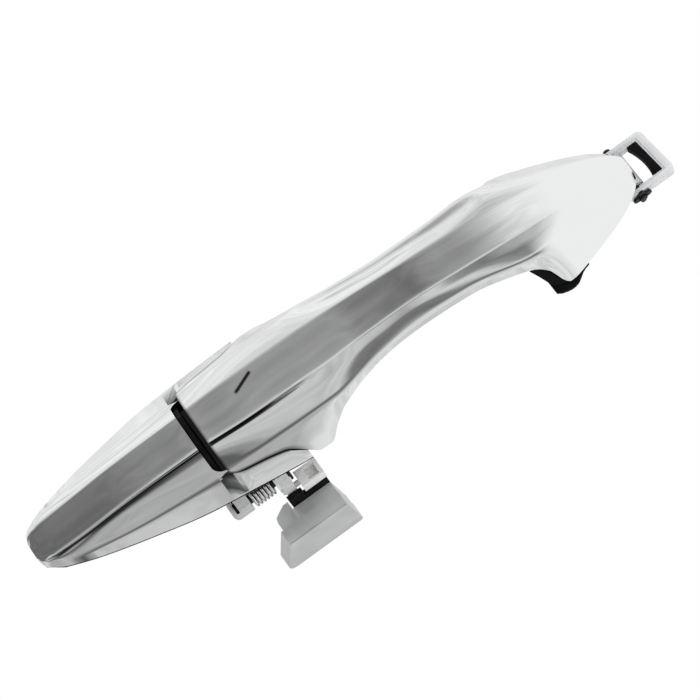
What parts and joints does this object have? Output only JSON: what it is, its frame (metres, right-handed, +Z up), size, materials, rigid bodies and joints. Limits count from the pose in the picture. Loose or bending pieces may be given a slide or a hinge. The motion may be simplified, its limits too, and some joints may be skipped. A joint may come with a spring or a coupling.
{
  "type": "car door handle",
  "caption": "Chrome strap-type outside door handle for a car, with a fixed end cap, a pivot loop at the front and a spring-loaded release lever with counterweight.",
  "frame": {"origin": "on the outer face of the door skin, at the gap between end cap and grip, on the rear gasket's door-side face", "axes": "+X along the handle towards the pivot loop and the front of the car, -Y outward from the door, +Y into the door, +Z up"},
  "size_m": [0.2637, 0.0691, 0.0654],
  "materials": {
    "chrome": "polished chrome plate on plastic",
    "loop_zinc": "satin plated casting",
    "zinc": "die-cast zinc, satin",
    "steel": "zinc-plated steel",
    "spring_steel": "bright spring wire",
    "dark_steel": "black oxide",
    "rubber": "matt black",
    "black_plastic": "moulded, fine grain",
    "white_plastic": "moulded acetal",
    "nylon": "natural nylon"
  },
  "bodies": {
    "base": {"end_cap": "chrome", "rear_gasket": "rubber", "base_bracket": "zinc", "mount_insert": "steel", "gap_seal": "rubber", "lever_pin": "dark_steel", "lever_pin_clip": "dark_steel", "return_spring": "spring_steel", "cap_screw_1": "steel", "cap_screw_2": "steel", "pivot_loop": "loop_zinc", "loop_liner": "rubber", "loop_pin": "dark_steel", "loop_pin_clip": "dark_steel", "front_gasket": "rubber"},
    "handle": {"grip_outer_shell": "chrome", "grip_back_shell": "black_plastic", "grip_screw_1": "steel", "grip_screw_2": "steel", "grip_screw_3": "steel", "grip_screw_4": "steel", "foot_heel": "rubber", "front_carrier": "zinc", "carrier_bush": "nylon", "tail_hook": "zinc", "grip_stiffener": "steel"},
    "lever": {"bell_crank": "zinc", "lever_bush": "nylon", "counterweight": "zinc", "weight_rivet": "steel", "weight_pad": "rubber"},
    "clip": {"rod_clip": "white_plastic"}
  },
  "joints": [
    {"name": "handle_pull", "type": "hinge", "parent": "base", "child": "handle", "pos_m": [0.1785, 0.0042, -0.0058], "axis": [0, 0, 1], "range_deg": [0, 5.5]},
    {"name": "lever_turn", "type": "hinge", "parent": "base", "child": "lever", "pos_m": [0.016, 0.0165, -0.017], "axis": [1, 0, 0], "range_deg": [0, 49.5], "stiffness_Nm_per_rad": 0.12, "springref_deg": -34.38},
    {"name": "clip_swivel", "type": "hinge", "parent": "lever", "child": "clip", "pos_m": [0.02, 0.0212, -0.0209], "axis": [1, 0, 0], "range_deg": [-12, 12]}
  ],
  "couplings": [
    {"joint": "lever_turn", "follows": "handle_pull", "ratio": 9}
  ]
}
